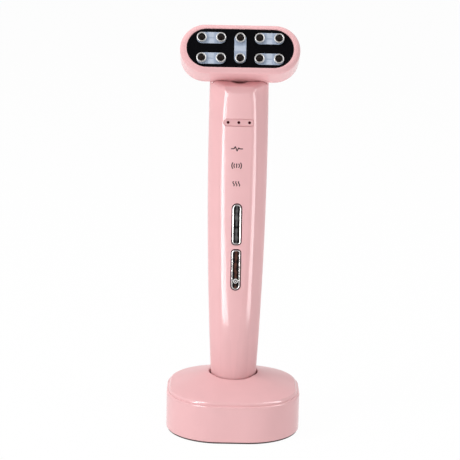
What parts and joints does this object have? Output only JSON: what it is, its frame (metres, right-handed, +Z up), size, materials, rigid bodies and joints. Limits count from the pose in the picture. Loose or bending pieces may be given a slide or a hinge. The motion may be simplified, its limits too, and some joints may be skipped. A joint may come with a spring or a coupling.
{
  "type": "eye massager",
  "caption": "Upright T-shaped eye massager wand with electrode and light pads on a tilted head, press buttons on the handle, and a square charging stand.",
  "frame": {"origin": "middle of the stand's underside, on the surface it stands on", "axes": "+Z up along the wand, -Y towards the front where the buttons and the panel face, +X to the right"},
  "size_m": [0.0556, 0.0556, 0.1682],
  "materials": {
    "pink_gloss": "glossy moulded plastic",
    "clear_pink": "tinted clear strip",
    "black_gloss": "black gloss panel",
    "frosted_blue": "frosted translucent window",
    "white_plastic": "matte moulded",
    "dark_plastic": "matte moulded",
    "dark_rubber": "soft matte",
    "maroon_rubber": "soft matte",
    "light_pipe": "dark tinted clear",
    "chrome": "bright plated",
    "dark_contact": "dark conductive moulding",
    "gilt": "gold plated",
    "steel": "plain steel",
    "copper_plate": "thin warming plate",
    "circuit_board": "green board",
    "chip": "black moulded chip",
    "diode": "clear moulded diode",
    "battery_wrap": "shrink-wrapped cell",
    "ribbon": "amber film"
  },
  "bodies": {
    "stand": {"stand_cover": "pink_gloss", "stand_body": "pink_gloss", "bottom_plate": "dark_plastic", "anti_slip_pad": "dark_rubber", "stand_screws": "steel", "ballast_weights": "steel", "contact_block": "dark_plastic", "stand_board": "circuit_board", "usb_shell": "steel", "usb_tongue": "dark_plastic", "pin_spring_left": "steel", "pin_spring_right": "steel"},
    "wand": {"handle_front_shell": "pink_gloss", "handle_rear_shell": "pink_gloss", "handle_end_cap": "pink_gloss", "charge_contacts": "gilt", "end_cap_screws": "steel", "indicator_bar": "clear_pink", "indicator_lights": "light_pipe", "indicator_leds": "diode", "main_board": "circuit_board", "board_screws": "steel", "board_chips": "chip", "battery_cell": "battery_wrap", "battery_tray": "white_plastic", "motor_can": "steel", "motor_sleeve": "dark_rubber", "ribbon_cable": "ribbon", "head_bezel": "pink_gloss", "head_rear_shell": "pink_gloss", "neck_screws": "steel", "face_panel": "black_gloss", "electrode_rings": "chrome", "electrode_studs": "dark_contact", "heater_plate": "copper_plate", "light_baffle": "white_plastic", "led_board": "circuit_board", "leds": "diode", "led_board_screws": "steel", "mode_button_gasket": "maroon_rubber", "power_button_gasket": "maroon_rubber", "mode_switch": "dark_plastic", "power_switch": "dark_plastic", "light_window_upper_left": "frosted_blue", "light_window_lower_left": "frosted_blue", "light_window_middle": "frosted_blue", "light_window_upper_right": "frosted_blue", "light_window_lower_right": "frosted_blue"},
    "charge_pin_left": {"charge_pin_left": "gilt"},
    "charge_pin_right": {"charge_pin_right": "gilt"},
    "mode_button": {"mode_button": "chrome", "mode_switch_stem": "dark_plastic"},
    "power_button": {"power_button": "chrome", "power_switch_stem": "dark_plastic"},
    "motor_rotor": {"motor_shaft": "steel", "motor_weight": "steel"}
  },
  "joints": [
    {"name": "wand_lift", "type": "slide", "parent": "stand", "child": "wand", "axis": [0, 0, 1], "range_m": [0, 0.04]},
    {"name": "mode_button_press", "type": "slide", "parent": "wand", "child": "mode_button", "axis": [0, 1, 0], "range_m": [0, 0.00035], "stiffness_N_per_m": 1500, "springref_m": -0.0005},
    {"name": "power_button_press", "type": "slide", "parent": "wand", "child": "power_button", "axis": [0, 1, 0], "range_m": [0, 0.00035], "stiffness_N_per_m": 1500, "springref_m": -0.0005},
    {"name": "motor_spin", "type": "hinge", "parent": "wand", "child": "motor_rotor", "pos_m": [0, 0.004, 0.1298], "axis": [0, 0, 1], "continuous": true},
    {"name": "charge_pin_left_push", "type": "slide", "parent": "stand", "child": "charge_pin_left", "axis": [0, 0, -1], "range_m": [0, 0.0008], "stiffness_N_per_m": 500, "springref_m": -0.0006, "deforming": ["pin_spring_left"]},
    {"name": "charge_pin_right_push", "type": "slide", "parent": "stand", "child": "charge_pin_right", "axis": [0, 0, -1], "range_m": [0, 0.0008], "stiffness_N_per_m": 500, "springref_m": -0.0006, "deforming": ["pin_spring_right"]}
  ]
}
